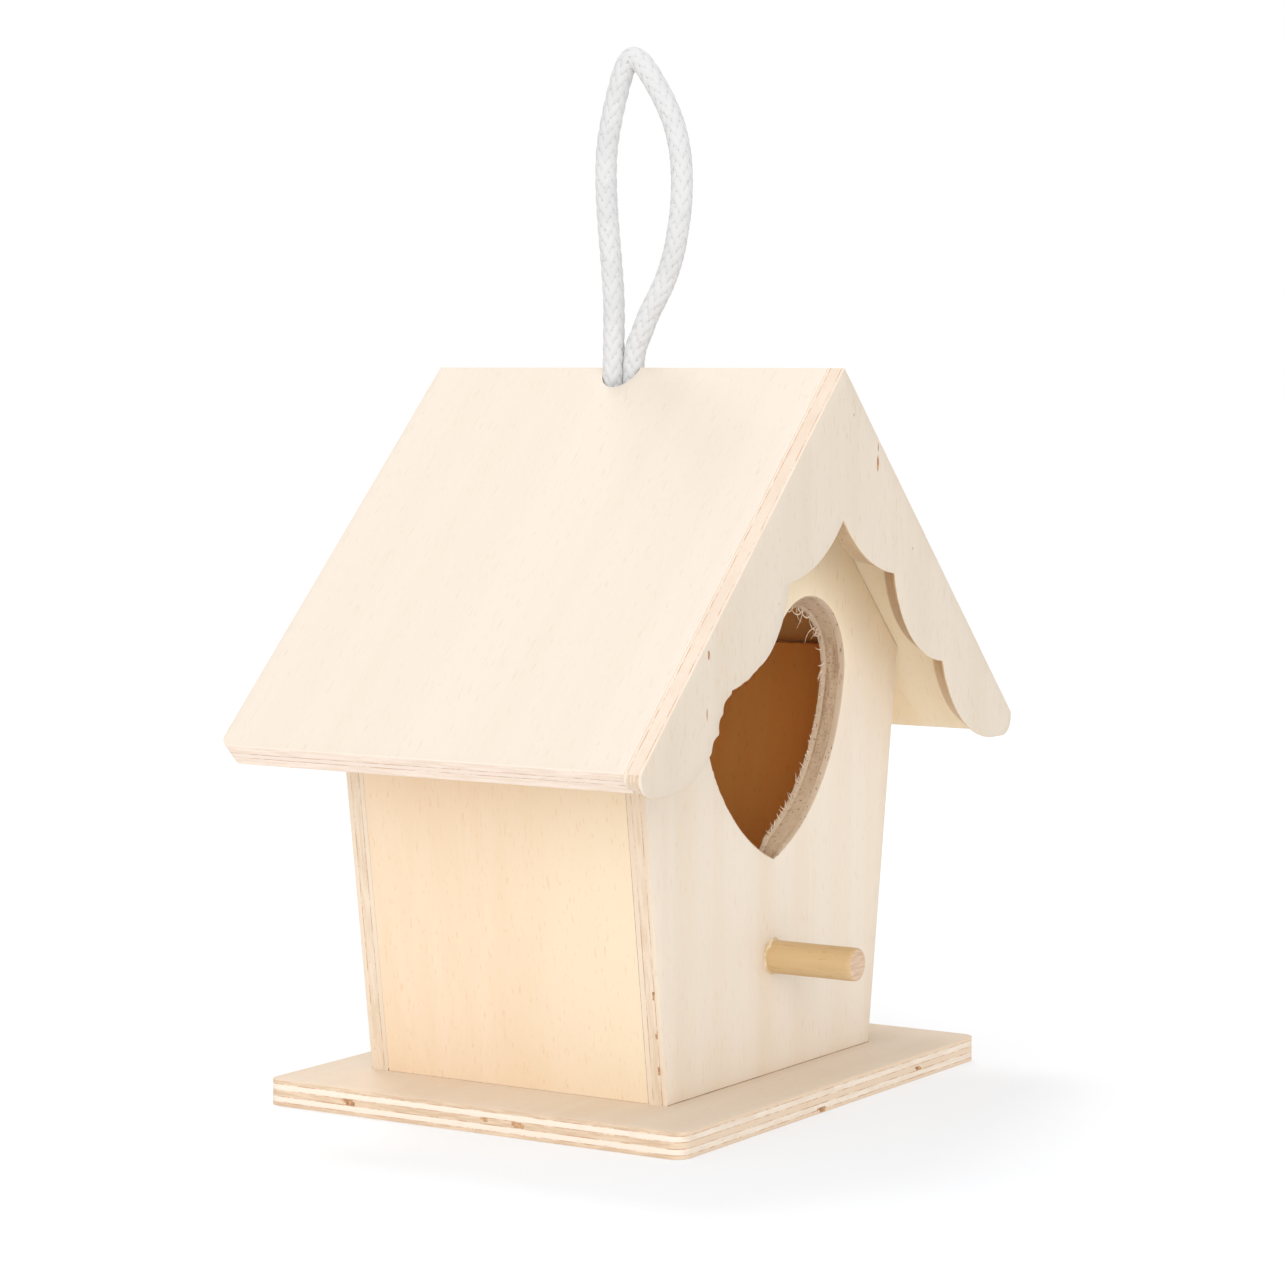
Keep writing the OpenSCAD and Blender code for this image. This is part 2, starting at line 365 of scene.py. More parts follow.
def outward(loop):
    """The direction out of the material at each point, long enough to keep a mitred edge even.

    It is shorter near a sharp point of the material, so that a cut there never crosses itself.
    """
    after = np.roll(loop, -1, 0) - loop
    after /= np.maximum(np.hypot(*after.T), 1e-9)[:, None]
    before = np.roll(after, 1, 0)
    n1 = np.column_stack([before[:, 1], -before[:, 0]])
    n2 = np.column_stack([after[:, 1], -after[:, 0]])
    opening = (n1 * n2).sum(1)
    out = (n1 + n2) / np.maximum(1 + opening, 0.5)[:, None]
    bulging = before[:, 0] * after[:, 1] - before[:, 1] * after[:, 0] > 0
    for tip in loop[bulging & (opening < -0.3)]:
        away = np.hypot(*(loop - tip).T)
        out *= np.clip(0.2 + 0.8 * away / SPIKE, 0, 1)[:, None]
    return out


def inside(points, loops):
    """Whether each point is inside the first loop and outside the others."""
    odd = np.zeros(len(points), bool)
    for loop in loops:
        a, b = loop, np.roll(loop, -1, 0)
        above_a = a[None, :, 1] > points[:, None, 1]
        above_b = b[None, :, 1] > points[:, None, 1]
        rise = np.where(b[:, 1] == a[:, 1], 1e-12, b[:, 1] - a[:, 1])
        crossing = a[:, 0] + (points[:, None, 1] - a[:, 1]) * (b[:, 0] - a[:, 0]) / rise
        odd ^= ((above_a != above_b) & (points[:, None, 0] < crossing)).sum(1) % 2 == 1
    return odd


def grid_points(loops):
    low, high = loops[0].min(0), loops[0].max(0)
    rows = np.arange(low[1], high[1], GRID_STEP * 0.866)
    columns = np.arange(low[0], high[0], GRID_STEP)
    grid = np.array([(x + (k % 2) * GRID_STEP / 2, y) for k, y in enumerate(rows) for x in columns])
    grid = grid[inside(grid, loops)]
    edge = np.vstack(loops)
    near = np.array([np.hypot(*(edge - p).T).min() for p in grid])
    return grid[near > GRID_STEP * 0.4]


class Pit:
    """A small hollow in a face, such as a knot hole: an oval at a place on the board."""

    def __init__(self, at, half, depth, lean=0.0):
        self.at, self.half, self.depth, self.lean = np.array(at), np.array(half), depth, math.radians(lean)

    def ring(self, share, count=14):
        turn = np.linspace(0, 2 * math.pi, count, endpoint=False)
        wave = [1 + 0.22 * noise.noise(Vector((math.cos(t) + self.at[0], math.sin(t), self.at[1])))
                for t in turn]
        oval = np.column_stack([np.cos(turn) * self.half[0], np.sin(turn) * self.half[1]])
        oval *= np.array(wave)[:, None] * share
        c, s = math.cos(self.lean), math.sin(self.lean)
        return self.at + oval @ np.array([[c, s], [-s, c]])


def face_triangles(loops, pits):
    """Points and triangles that fill a face: (extra points, their depths, triangles, which are in a pit)."""
    rims = [pit.ring(1.0) for pit in pits]
    floors = [pit.ring(0.62) for pit in pits]
    grid = grid_points(loops)
    for pit in pits:
        grid = grid[np.hypot(*((grid - pit.at) / (pit.half + 0.6)).T) > 1.2]
    extra, depth = [grid], [np.zeros(len(grid))]
    fixed = []
    base = sum(len(loop) for loop in loops) + len(grid)
    for pit, rim, floor in zip(pits, rims, floors):
        extra += [rim, floor, pit.at[None, :]]
        depth += [np.zeros(len(rim)), np.full(len(floor), pit.depth * 0.8), np.array([pit.depth])]
        fixed += [(base, len(rim)), (base + len(rim), len(floor))]
        base += len(rim) + len(floor) + 1
    points = np.vstack([*loops, *extra])
    edges, start = [], 0
    for loop in loops:
        edges += [(start + k, start + (k + 1) % len(loop)) for k in range(len(loop))]
        start += len(loop)
    for first, count in fixed:
        edges += [(first + k, first + (k + 1) % count) for k in range(count)]
    made = delaunay_2d_cdt([Vector(p) for p in points], edges, [], 0, 1e-6)
    assert all(made[3]), "an outline crosses itself"
    source = [o[0] for o in made[3]]
    triangles = np.array([[source[i] for i in f] for f in made[2] if len(f) == 3])
    sides = points[triangles]
    a, b = sides[:, 1] - sides[:, 0], sides[:, 2] - sides[:, 0]
    triangles = triangles[np.abs(a[:, 0] * b[:, 1] - a[:, 1] * b[:, 0]) > SLIVER]
    middles = points[triangles].mean(1)
    triangles = triangles[inside(middles, loops)]
    middles = points[triangles].mean(1)
    hollow = np.zeros(len(triangles), bool)
    for rim in rims:
        hollow |= inside(middles, [rim])
    return np.vstack(extra), np.concatenate(depth), triangles, hollow


def band_depths(thick, plies):
    """The depth of each ring round a board's edge with how far it is cut in, and the glue lines."""
    rows = []
    for k in range(EASE_STEPS + 1):
        a = math.pi / 2 * k / EASE_STEPS
        rows.append((EASE * (1 - math.cos(a)), EASE * (1 - math.sin(a))))
    rows += [(thick - d, cut) for d, cut in rows]
    joints = [thick * share for share in plies]
    for depth in joints:
        rows += [(depth - GLUE_WIDTH / 2, 0.0), (depth, GLUE_DEPTH), (depth + GLUE_WIDTH / 2, 0.0)]
    rows.sort()
    filled = [rows[0]]
    for depth, cut in rows[1:]:
        gap = depth - filled[-1][0]
        parts = max(1, round(gap / DEPTH_STEP))
        filled += [(filled[-1][0] + gap * k / parts, 0.0) for k in range(1, parts)]
        filled.append((depth, cut))
    return filled, joints


def void_depth(point, depth, void):
    """How deep a gap in the plies is at a point of the edge, and 0 outside it."""
    place, middle, half_long, half_high, deep = void
    away = math.hypot(math.dist(point, place) / half_long, (depth - middle) / half_high)
    return deep * (1 - away * away) if away < 1 else 0.0


def edge_rings(rows, sets, saw, voids, seam):
    """The outlines at each depth, cut in as the real edge is.

    The other results are the points in a void and the points that are glued, as (outline, point, level).
    """
    thick = rows[-1][0]
    normals = [outward(loop) for loop in sets[0]]
    rings, dark, glued = [], set(), set()
    for level, (depth, cut) in enumerate(rows):
        placed = []
        for index, loop in enumerate(sets[level]):
            moved = loop.copy()
            for k, point in enumerate(loop):
                left = seam(point, loop[:, 1].max()) if seam and index == 0 else None
                inset = cut if left is None else cut * left
                if left is not None:
                    glued.add((index, k, level))
                elif EASE < depth < thick - EASE:
                    inset += RELIEF * (0.5 + 0.5 * noise.noise(Vector((*point, depth)) * 0.9))
                if saw:
                    inset += saw(index, point, depth, thick)
                sunk = sum(void_depth(point, depth, void) for void in voids)
                if sunk > 0:
                    dark.add((index, k, level))
                moved[k] = point - normals[index][k] * (inset + sunk)
            placed.append(moved)
        rings.append(placed)
    return rings, dark, glued


def ply_at(depth, joints, rim):
    """The material of an edge at a depth: an outer ply, a crossed ply or the glue line between two."""
    if any(abs(depth - joint) < GLUE_WIDTH / 2 for joint in joints):
        return RIM_CORE if rim else GLUE
    crossed = sum(depth > joint for joint in joints) % 2
    return (RIM_PLY if rim else PLY) + crossed


def board(name, node, toward, up, plies, skins, tapered=False, saw=None, pits=(), voids=(), seam=None,
          rim_at=None):
    """A plywood panel in the place of a CAD node, with eased edges and its plies showing along them.

    plies are the shares of the thickness where the glue lines lie. skins are the materials in the order of
    FACE to RIM_CORE. saw(outline, place, depth, thickness) is how far the saw cut in. voids are gaps in the
    edge: (place, depth below the face, half length, half height, how deep). seam(place, highest) is how much
    of the easing is left where the outline is glued to another board, and None elsewhere. rim_at(place) is
    whether the outline has the rim's materials there. Without it they are on the openings.
    """
    normal, top, thick = facing(node, toward)
    u = up.cross(normal).normalized()
    v = normal.cross(u)
    rows, joints = band_depths(thick, plies)
    sets = outlines(node, [depth for depth, cut in rows], normal, top, u, v, tapered)
    rings, dark, glued = edge_rings(rows, sets, saw, voids, seam)
    has_rim = len(skins) > RIM_PLY

    def lift(flat, depth):
        return ((u * float(flat[0]) + v * float(flat[1])) + normal * (top - depth)) * MM

    def edge_skin(level, index, k, after):
        middle = (rows[level][0] + rows[level + 1][0]) / 2
        if (index, k, level) in dark or (index, after, level + 1) in dark:
            return HOLLOW
        if (index, k, level) in glued and not EASE < middle < thick - EASE:
            return SEAM
        rim = has_rim and (rim_at(sets[level][index][k]) if rim_at else index > 0)
        return ply_at(middle, joints, rim)

    verts, faces, mats, first = [], [], [], {}
    for level, placed in enumerate(rings):
        for index, loop in enumerate(placed):
            first[level, index] = len(verts)
            verts += [lift(p, rows[level][0]) for p in loop]
    for level in range(len(rows) - 1):
        for index, loop in enumerate(rings[level]):
            n = len(loop)
            faces += between(first[level, index], first[level + 1, index], n)
            mats += [edge_skin(level, index, k, (k + 1) % n) for k in range(n)]
    for level, flip, holes in ((0, False, pits), (len(rows) - 1, True, ())):
        extra, sunk, triangles, hollow = face_triangles(rings[level], holes)
        edge_count = sum(len(loop) for loop in rings[level])
        base = len(verts)
        depth = rows[level][0]
        verts += [lift(p, depth + d * (-1 if flip else 1)) for p, d in zip(extra, sunk)]
        start = first[level, 0]
        for triangle, pitted in zip(triangles, hollow):
            corner = [start + int(i) if i < edge_count else base + int(i) - edge_count for i in triangle]
            faces.append(tuple(reversed(corner)) if flip else tuple(corner))
            mats.append(HOLLOW if pitted else BACK if flip else FACE)
    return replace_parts(make_piece(name, verts, faces, skins, mats), node)


def make_piece(name, verts, faces, materials, indices=None, sharp=38):
    mesh = bpy.data.meshes.new(name)
    mesh.from_pydata([tuple(p) for p in verts], [], faces)
    for material in materials:
        mesh.materials.append(material)
    if indices is not None:
        mesh.polygons.foreach_set("material_index", indices)
    mesh.polygons.foreach_set("use_smooth", [True] * len(mesh.polygons))
    mesh.validate()
    mesh.update()
    mesh.set_sharp_from_angle(angle=math.radians(sharp))
    piece = bpy.data.objects.new(name, mesh)
    bpy.context.collection.objects.link(piece)
    return piece


def settle(piece):
    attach(piece, "root")
    return piece


# ---------------------------------------------------------------- cord

CORD_D = 3.7
CORD_ROUTE = [
    (0.9, 0.9, 121), (0.9, 0.9, 127), (0.9, 0.9, 132), (0.8, 0.4, 135.5), (0.6, -1.1, 138.6),
    (0.4, -2.5, 141.5), (0.3, -4.3, 144.5), (0.2, -6, 147.4), (0.1, -7.3, 150.3),
    (0.1, -8.3, 153.4), (0, -9, 156.5), (0, -9.7, 161), (0, -9.9, 166.5), (0, -9.4, 171.5),
    (0, -8.2, 176), (0, -6.5, 179.7), (0, -4.4, 183.2), (0, -2.2, 186.3), (0, -0.6, 187.9),
    (0, 0.6, 188.4), (0, 1.7, 187.6), (0, 2.8, 185.6), (0, 4.1, 181.6), (0, 5.3, 177),
    (0, 6.2, 172), (0, 6.4, 167), (0, 6.2, 162), (0, 5.7, 156.2), (0, 5.1, 150.3),
    (-0.1, 4.6, 144.5), (-0.2, 4.5, 138.5), (-0.3, 4.5, 132), (-0.3, 4.5, 127), (-0.3, 4.5, 121)]
# The plait: the length of one turn, the strands each way, and half a strand's width and height
BRAID_PITCH, BRAID_STRANDS = 22.0, 8
STRAND_WIDTH, STRAND_HEIGHT = 0.68, 0.26
BRAID_STEP, STRAND_SIDES, CORE_SIDES = 0.3, 8, 12


CURVE_STEPS = 24


def smooth_route(points, step):
    """Points about step apart on a smooth curve through the route, all in millimetres."""
    route = [Vector(p) for p in points]
    ends = [route[0] * 2 - route[1], *route, route[-1] * 2 - route[-2]]
    fine = []
    for a, b, c, d in zip(ends, ends[1:], ends[2:], ends[3:]):
        for k in range(CURVE_STEPS):
            t = k / CURVE_STEPS
            fine.append(0.5 * (2 * b + (c - a) * t + (2 * a - 5 * b + 4 * c - d) * t * t
                               + (3 * b - a - 3 * c + d) * t ** 3))
    fine.append(route[-1])
    lengths = np.concatenate([[0], np.cumsum([(q - p).length for p, q in zip(fine, fine[1:])])])
    count = max(2, round(lengths[-1] / step))
    want = np.linspace(0, lengths[-1], count + 1)
    flat = np.array([tuple(p) for p in fine])
    return [Vector(p) for p in np.column_stack([np.interp(want, lengths, flat[:, k]) for k in range(3)])]


def moving_frames(centre):
    """(tangent, side, other) at each point, turned as little as possible from one to the next."""
    tangents = [(centre[min(i + 1, len(centre) - 1)] - centre[max(i - 1, 0)]).normalized()
                for i in range(len(centre))]
    side = tangents[0].orthogonal().normalized()
    frames = []
    for tangent in tangents:
        side = (side - tangent * side.dot(tangent)).normalized()
        frames.append((tangent, side, tangent.cross(side)))
    return frames


def tube(verts, faces, sections):
    """Add a closed tube: sections are the rings of points from one end to the other."""
    start, n = len(verts), len(sections[0])
    for points in sections:
        verts += points
    for i in range(len(sections) - 1):
        faces += between(start + i * n, start + (i + 1) * n, n)
    last = start + (len(sections) - 1) * n
    faces.append(tuple(start + k for k in range(n)))
    faces.append(tuple(last + k for k in reversed(range(n))))


def strand_sections(centre, frames, direction, strand):
    """The rings of points of one strand, which winds round the core in a direction of 1 or -1."""
    sections = []
    for i, (p, (tangent, side, other)) in enumerate(zip(centre, frames)):
        turn = 2 * math.pi * (strand / BRAID_STRANDS + direction * i * BRAID_STEP / BRAID_PITCH)
        crossing = 2 * BRAID_STRANDS * i * BRAID_STEP / BRAID_PITCH - 0.5 * direction
        wave = math.cos(math.pi * (crossing / 2 + strand))
        out = side * math.cos(turn) + other * math.sin(turn)
        round_it = -side * math.sin(turn) + other * math.cos(turn)
        radius = CORD_D / 2 - STRAND_HEIGHT * 0.8 + direction * wave * STRAND_HEIGHT * 0.45
        spread = STRAND_WIDTH * (1 + 0.1 * direction * wave)
        sections.append([(p + out * (radius + STRAND_HEIGHT * math.sin(a)) + round_it * spread * math.cos(a))
                         * MM for a in turns(STRAND_SIDES)])
    return sections


def core_sections(centre, frames):
    """The rings of points of the plain core under the strands."""
    return [[(p + (side * math.cos(a) + other * math.sin(a)) * (CORD_D * 0.4)) * MM
             for a in turns(CORE_SIDES)] for p, (tangent, side, other) in zip(centre[::3], frames[::3])]


def braid(name, route, materials):
    """A round plait on a core, in which each strand passes over two others and then under two."""
    centre = smooth_route(route, BRAID_STEP)
    frames = moving_frames(centre)
    verts, faces = [], []
    for direction in (1, -1):
        for strand in range(BRAID_STRANDS):
            tube(verts, faces, strand_sections(centre, frames, direction, strand))
    of_strands = len(faces)
    tube(verts, faces, core_sections(centre, frames))
    mats = [0] * of_strands + [1] * (len(faces) - of_strands)
    return make_piece(name, verts, faces, materials, mats, sharp=70), centre


def yarn(name, light, dark):
    g = Graph(name)
    place = g.tree.nodes.new("ShaderNodeTexCoord").outputs["Object"]
    speck = g.noise(place, 900.0, 2.0, 0.6)
    cloud = g.noise(place, 180.0, 2.0, 0.5)
    fuzz = g.noise(place, 4200.0, 2.0, 0.6)
    colour = g.mix(g.math("MULTIPLY", g.step(cloud, 0.4, 0.65), 0.35), light, dark)
    colour = g.mix(g.math("MULTIPLY", g.step(speck, 0.66, 0.74), 0.6), colour, tone(176, 174, 174))
    return g.finish(colour, 0.85, fuzz, bump=0.04, bump_depth=0.03, specular=0.15)


COTTON = yarn("cord_cotton", tone(216, 216, 216), tone(200, 201, 202))
# The core, seen only in the gaps between the strands, is painted darker as the shade there
COTTON_CORE_SHADE = yarn("cord_core_shade", tone(205, 205, 206), tone(170, 170, 172))

cord, cord_line = braid("braided_cord", CORD_ROUTE, [COTTON, COTTON_CORE_SHADE])
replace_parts(cord, "hang_cord")
settle(cord)

KNOT_TURNS, KNOT_POINTS = 2.3, 40


def make_knot():
    """The stopper knot under the ridge: the cord wound round itself."""
    low, high = (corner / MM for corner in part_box("cord_knot"))
    middle = (low + high) / 2
    radius = (high.x - low.x) / 2 - CORD_D / 2
    height = high.z - low.z - CORD_D
    route = []
    for k in range(KNOT_POINTS + 1):
        share = k / KNOT_POINTS
        a = 2 * math.pi * KNOT_TURNS * share
        narrow = 1 - 0.35 * (2 * share - 1) ** 2
        route.append((middle.x + radius * narrow * math.cos(a), middle.y + radius * narrow * math.sin(a),
                      high.z - CORD_D / 2 - height * share))
    knot = braid("knot", route, [COTTON, COTTON_CORE_SHADE])[0]
    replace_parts(knot, "cord_knot")
    return settle(knot)


knot = make_knot()

# ---------------------------------------------------------------- the boards

GLUE_BROWN = glue_line("glue_line", tone(198, 156, 124), tone(234, 214, 194))
SEAM_BROWN = glue_line("seam_glue", tone(148, 104, 72), tone(204, 170, 134))
HOLLOW_WOOD_AND_SHADE = void_wood_and_shade("hollow")
FLECK = tone(196, 156, 112)
PORE = tone(132, 98, 72)

# Each face of veneer: pale wood, deeper wood and flecks
CREAM = (tone(235, 222, 206), tone(229, 212, 189), tone(212, 186, 156))
TABLE = (tone(229, 214, 197), tone(223, 205, 182), tone(206, 180, 148))
ROOF = (tone(227, 215, 201), tone(223, 208, 190), tone(209, 187, 159))
WARM = (tone(240, 218, 191), tone(234, 206, 172), tone(220, 172, 122))
GABLE = (tone(223, 210, 194), tone(218, 203, 182), tone(200, 172, 136))
# Painted warm bounce light for the walls' inside faces: a deep orange that stands in for the light bouncing
# round inside the house
WALL_INSIDE_PAINTED_LIGHT = (tone(255, 194, 109), tone(254, 177, 87), tone(224, 140, 62))
UNDER = (tone(244, 228, 199), tone(240, 217, 180), tone(220, 186, 140))
YELLOW = tone(241, 222, 194)
# Painted warm bounce light on the top of the front wall, in the shade under the gable
EAVE_PAINTED_BOUNCE = tone(255, 238, 208)

# Each sheet seen at an edge: pale wood, deeper wood, flecks, and pale and deep wood where its fibres are cut
EDGE = (tone(233, 217, 196), tone(226, 207, 184), FLECK, tone(230, 213, 191), tone(219, 199, 174))
MIDDLE = (tone(236, 219, 198), tone(229, 210, 187), FLECK, tone(233, 215, 193), tone(222, 202, 177))
ROOF_EDGE = (tone(243, 229, 216), tone(238, 221, 204), FLECK, tone(244, 228, 214), tone(236, 216, 199))
ROOF_MIDDLE = (tone(241, 226, 213), tone(234, 214, 198), FLECK, tone(241, 225, 211), tone(231, 210, 193))
TAN_EDGE = (tone(229, 207, 182), tone(217, 191, 162), FLECK, tone(225, 201, 174), tone(209, 181, 152))
WHITE_MIDDLE = (tone(241, 228, 211), tone(234, 218, 199), FLECK, tone(239, 225, 208), tone(230, 213, 193))
GABLE_EDGE = (tone(232, 217, 201), tone(224, 206, 187), FLECK, tone(230, 213, 195), tone(220, 201, 180))
GABLE_MIDDLE = (tone(230, 213, 196), tone(219, 199, 179), FLECK, tone(226, 208, 189), tone(212, 188, 162))
# The scallops' edges, which face down, are darker: partly burnt by the saw, partly painted shade
SCALLOP_EDGE_BURN_AND_SHADE = (tone(222, 200, 170), tone(212, 186, 152), FLECK, tone(220, 197, 166), tone(206, 178, 142))
SCALLOP_MIDDLE_BURN_AND_SHADE = (tone(214, 188, 154), tone(200, 170, 134), FLECK, tone(208, 176, 138), tone(180, 142, 104))
RIM_EDGE = (tone(212, 190, 164), tone(192, 166, 138), PORE, tone(208, 184, 157), tone(182, 155, 124))
RIM_MIDDLE = (tone(200, 174, 145), tone(174, 144, 113), PORE, tone(196, 169, 139), tone(166, 134, 103))
# Painted warm shade for the side walls' edges. Only the top one shows, in the dark gap under the roof
SIDE_EDGE_PAINTED_SHADE = (tone(250, 190, 112), tone(240, 170, 96), FLECK, tone(246, 184, 106), tone(236, 164, 90))


def skins(label, face, back, grain, cross, seed, edge=EDGE, middle=MIDDLE, rim=None, rear=None, **more):
    """The materials of a board, in the order of FACE to RIM_CORE.

    face and back are the tones of its faces, edge and middle of its outer and crossed plies at the edge, and
    rim of the same two at an opening. rear is passed on to the back and more to the face.
    """
    layer = grain.cross(cross)
    cut = edge[3:]
    made = [wood(label + "_face", grain, layer, *face, *cut, seed=seed, **more),
            wood(label + "_back", grain, layer, *back, *cut, seed=seed + 3, **(rear or {})),
            wood(label + "_plies", grain, layer, *edge, seed=seed + 9, flecks=0.15),
            wood(label + "_middle", cross, layer, *middle, seed=seed + 5, flecks=0.2),
            GLUE_BROWN, HOLLOW_WOOD_AND_SHADE, SEAM_BROWN]
    if rim:
        made += [wood(label + "_rim_plies", grain, layer, *rim[0], seed=seed + 13, streaks=0.8, flecks=0.8),
                 wood(label + "_rim_middle", cross, layer, *rim[1], seed=seed + 17, streaks=1.2, flecks=1.0)]
    return made


THREE_PLY = (0.26, 0.74)
FIVE_PLY = (0.15, 0.38, 0.62, 0.85)
WALL_FOOT, WALL_LEAN = 36.2, math.radians(8)
BASE_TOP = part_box("front_panel")[0].z / MM
WALL_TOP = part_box("side_panel_left")[1].z / MM

# Gaps in the base's plies: place on its outline, depth, half length, half height and how deep
BASE_VOIDS = [((-54, 25.5), 2.3, 1.2, 0.42, 0.3), ((-54, -10.7), 2.3, 1.0, 0.42, 0.3),
              ((-54, -3.8), 2.1, 0.5, 0.25, 0.2), ((-6.5, -43.8), 3.9, 1.3, 0.25, 0.2),
              ((30, -43.8), 2.5, 1.0, 0.25, 0.2)]


def make_base():
    base = board("base_board", "base_plate", Z, Y, FIVE_PLY,
                 skins("base", TABLE, TABLE, X, Y, 11.0, TAN_EDGE, WHITE_MIDDLE), voids=BASE_VOIDS)
    settle(base)


make_base()


def wall_edge(z):
    """A place on the left edge of the front wall, z above the table."""
    return -(WALL_FOOT + (z - BASE_TOP) * math.tan(WALL_LEAN)), z


def front_seam(place, high):
    """The front and back walls are glued to the base below and to the roof above."""
    return None if BASE_TOP + 0.4 < place[1] < WALL_TOP else 1.0


def side_seam(place, high):
    """The side walls are glued all round. Their sharp top edge touches the roof's underside."""
    return 0.0 if high - place[1] < 0.4 else 0.3


def snug(depth, thick):
    """How far a wall's back edge stands out to close the groove beside a side wall."""
    return 0.8 * EASE * max(0.0, (depth - thick) / EASE + 1) ** 2


def back_saw(loop, point, depth, thick):
    return -snug(depth, thick)


# The heart's lowest and its inner corner, and how far its rim slants into the opening
HEART_TIP, HEART_CLEFT, SLANT = (0.0, 43.8), (0.0, 82.4), 2.3
# Where its left edge is chewed, the radius of that, and how far in from the back it is torn
CHEWED_AT, CHEWED_RADIUS, TORN_DEPTH = (-20, 60), 9, 0.9


def heart_slant(point, share):
    """How far the rim reaches into the opening at a share of the depth: the heart is narrower behind."""
    ends = min(1.0, math.dist(point, HEART_TIP) / 4.5) * min(1.0, math.dist(point, HEART_CLEFT) / 7)
    return SLANT * share * ends


def heart_saw(loop, point, depth, thick):
    """How far the saw cut into the heart's rim: a little unevenly, and torn at the back."""
    if loop != 1:
        return -snug(depth, thick) if loop == 0 else 0.0
    spot = Vector((point[0], point[1], depth))
    wobble = 0.05 + 0.05 * noise.noise(spot * 0.5) + 0.05 * noise.noise(spot * 1.7)
    chewed = max(0.0, 1 - math.dist(point, CHEWED_AT) / CHEWED_RADIUS)
    torn = max(0.0, 1 - (thick - depth) / TORN_DEPTH)
    wobble += 0.25 * chewed * (0.5 + noise.noise(Vector((point[0] * 1.1, point[1] * 1.1, 3))))
    wobble += 0.3 * torn * noise.noise(Vector((point[0] * 1.3, point[1] * 1.3, 8)))
    steady = min(1.0, abs(point[0]) / 3)
    return wobble * steady - heart_slant(point, depth / thick)


# Gaps in the front wall's plies, at the height and with the half length of each
FRONT_VOIDS = [(wall_edge(z), 1.1, half, 0.17, 0.08) for z, half in ((11.0, 0.7), (17.4, 0.6), (24.5, 0.6))]


def make_front():
    # The front wall's top turns to painted warm bounce light under the gable, and its inside face has painted
    # indoor light
    front = board("front_wall", "front_panel", -Y, Z, THREE_PLY,
                  skins("front", CREAM, WALL_INSIDE_PAINTED_LIGHT, Z, X, 23.0, rim=(RIM_EDGE, RIM_MIDDLE), streaks=0.35,
                        shift=(Z, 62, 96, EAVE_PAINTED_BOUNCE)),
                  saw=heart_saw, voids=FRONT_VOIDS, seam=front_seam)
    settle(front)


make_front()

CURL_STEP, RIM_POINTS, FIBRE_SIDES = 0.22, 300, 7
# Where the heart's back edge is torn: two opposite corners, how many fibres, their length and their curl
TORN = [((9.0, 84.0), (24.0, 92.5), 9, 3.4, 44.0), ((20.0, 76.0), (27.5, 86.0), 7, 2.2, 40.0),
        ((3.0, 46.0), (19.0, 58.0), 14, 1.4, 20.0), ((12.0, 56.0), (27.0, 78.0), 16, 0.5, 10.0)]


def curled_fibre(chance, start, out, length, curl):
    """The points of a torn fibre from its root: across, up and in or out from the wall's back."""
    heading = math.atan2(out[1], out[0]) + chance.uniform(-0.9, 0.9)
    turn = math.radians(curl) * chance.uniform(0.2, 1.0) * chance.choice((-1, 1))
    spine = [Vector((*(start - out * 0.3), -chance.uniform(0.1, 0.7)))]
    for _ in range(max(4, round(length * chance.uniform(0.5, 1.6) / CURL_STEP))):
        heading += turn * CURL_STEP
        step = Vector((math.cos(heading), math.sin(heading), chance.uniform(-0.1, 0.25)))
        spine.append(spine[-1] + step * CURL_STEP)
    return spine


def tapered_sections(spine, thickness):
    """The rings of points round a fibre, which gets thinner towards its end."""
    sections = []
    for i, (p, (tangent, side, other)) in enumerate(zip(spine, moving_frames(spine))):
        r = thickness * (1 - 0.8 * i / (len(spine) - 1))
        sections.append([(p + side * r * math.cos(a) - other * r * math.sin(a)) * MM
                         for a in turns(FIBRE_SIDES)])
    return sections


def make_splinters():
    """Torn fibres that stand out from the back edge of the heart, thin and mostly curled."""
    normal, top, thick = facing("front_panel", -Y)
    loops = section("front_panel", thick - SKIM, normal, top, X, Z)
    heart = sorted(loops, key=lambda loop: -abs(area(loop)))[1]
    rim = turned(heart, False)
    rim = resample(np.vstack([rim, rim[:1]]), RIM_POINTS)
    out = outward(rim)
    chance = random.Random(5)
    verts, faces = [], []
    for low, high, count, length, curl in TORN:
        torn = [k for k, p in enumerate(rim) if low[0] < p[0] < high[0] and low[1] < p[1] < high[1]]
        for _ in range(count):
            k = chance.choice(torn)
            share = chance.random()
            start = rim[k] * (1 - share) + rim[(k + 1) % len(rim)] * share
            start = start + out[k] * heart_slant(start, 1.0)
            spine = curled_fibre(chance, start, out[k], length, curl)
            placed = [Vector((p.x, -top + thick + p.z, p.y)) for p in spine]
            tube(verts, faces, tapered_sections(placed, chance.uniform(0.11, 0.19)))
    fibre = wood("torn_fibre", X, Y, tone(236, 214, 190), tone(220, 194, 166), FLECK, *EDGE[3:], seed=29.0)
    settle(make_piece("heart_splinters", verts, faces, [fibre], sharp=60))


make_splinters()


def make_back():
    back = board("back_wall", "back_panel", Y, Z, THREE_PLY, skins("back", CREAM, WALL_INSIDE_PAINTED_LIGHT, Z, X, 37.0),
                 saw=back_saw, seam=front_seam)
    settle(back)


make_back()

PITCH = math.radians(44.5)
RIDGE_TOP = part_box("gable_board")[1].z / MM
# Painted warm bounce light for the roof's underside inside the house: the half widths of the walls and its
# tone
ROOF_INSIDE_PAINTED_LIGHT = (46.6, 28.0, tone(255, 216, 142))


